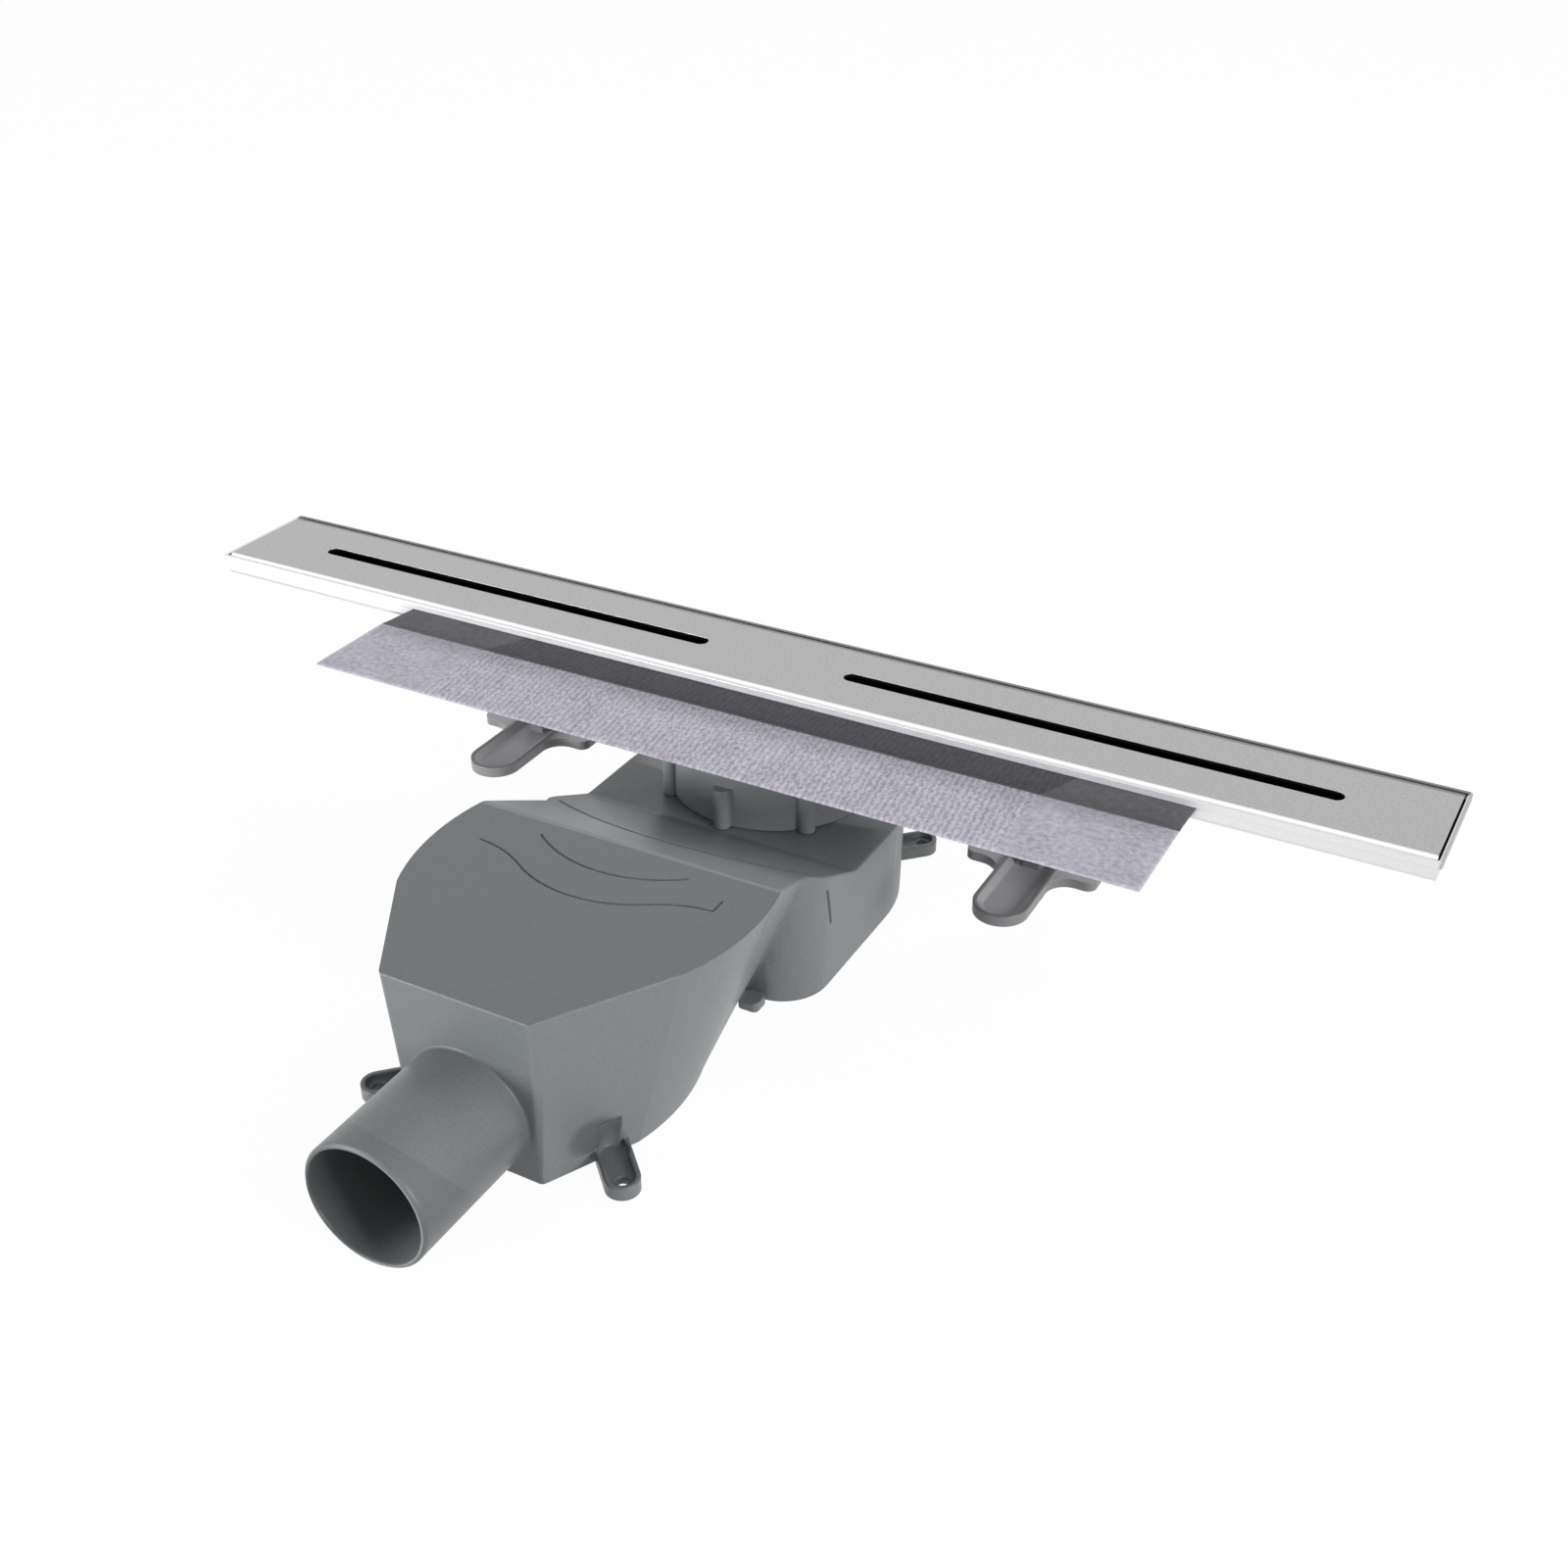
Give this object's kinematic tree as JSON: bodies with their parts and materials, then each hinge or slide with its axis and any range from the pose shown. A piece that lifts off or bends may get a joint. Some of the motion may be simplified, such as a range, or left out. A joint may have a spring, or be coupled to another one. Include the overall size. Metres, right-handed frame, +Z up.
{
  "type": "linear shower drain",
  "caption": "Slim steel shower channel with a slotted drop-in cover, bonded sealing membrane, levelling feet and a flat moulded trap with a horizontal outlet spigot.",
  "frame": {"origin": "On the standing face of the trap, straight below the axis of the inlet under the middle of the channel.", "axes": "+Z up, X along the channel, -Y the way the outlet pipe points. The part is mirror-symmetric about the plane X = 0."},
  "size_m": [0.557, 0.3301, 0.1],
  "materials": {
    "brushed_steel": "satin stainless sheet, fine grain along the channel",
    "neck_steel": "plain drawn stainless tube",
    "zinc_steel": "bright zinc-plated steel",
    "housing_plastic": "mid-grey moulded polypropylene, fine matt",
    "foot_plastic": "mid-grey moulded plastic, satin",
    "ring_plastic": "dark grey moulded plastic, satin",
    "cup_plastic": "white moulded plastic",
    "strainer_plastic": "grey moulded plastic",
    "rubber": "black sealing rubber, matt",
    "fleece": "lavender-grey fleece-faced sealing membrane"
  },
  "bodies": {
    "root": {"bonding_strip": "rubber", "channel": "brushed_steel", "closing_plate": "housing_plastic", "cover_buffers": "rubber", "cover_plate": "brushed_steel", "cup_gasket": "rubber", "foot_washers": "zinc_steel", "hair_strainer": "strainer_plastic", "immersion_cup": "cup_plastic", "left_foot": "foot_plastic", "levelling_rods": "zinc_steel", "lip_seal": "rubber", "lock_nuts": "zinc_steel", "locking_ring": "ring_plastic", "membrane": "fleece", "outlet_neck": "neck_steel", "right_foot": "foot_plastic", "slip_ring": "cup_plastic", "trap_housing": "housing_plastic", "weld_nuts": "zinc_steel"}
  },
  "joints": []
}
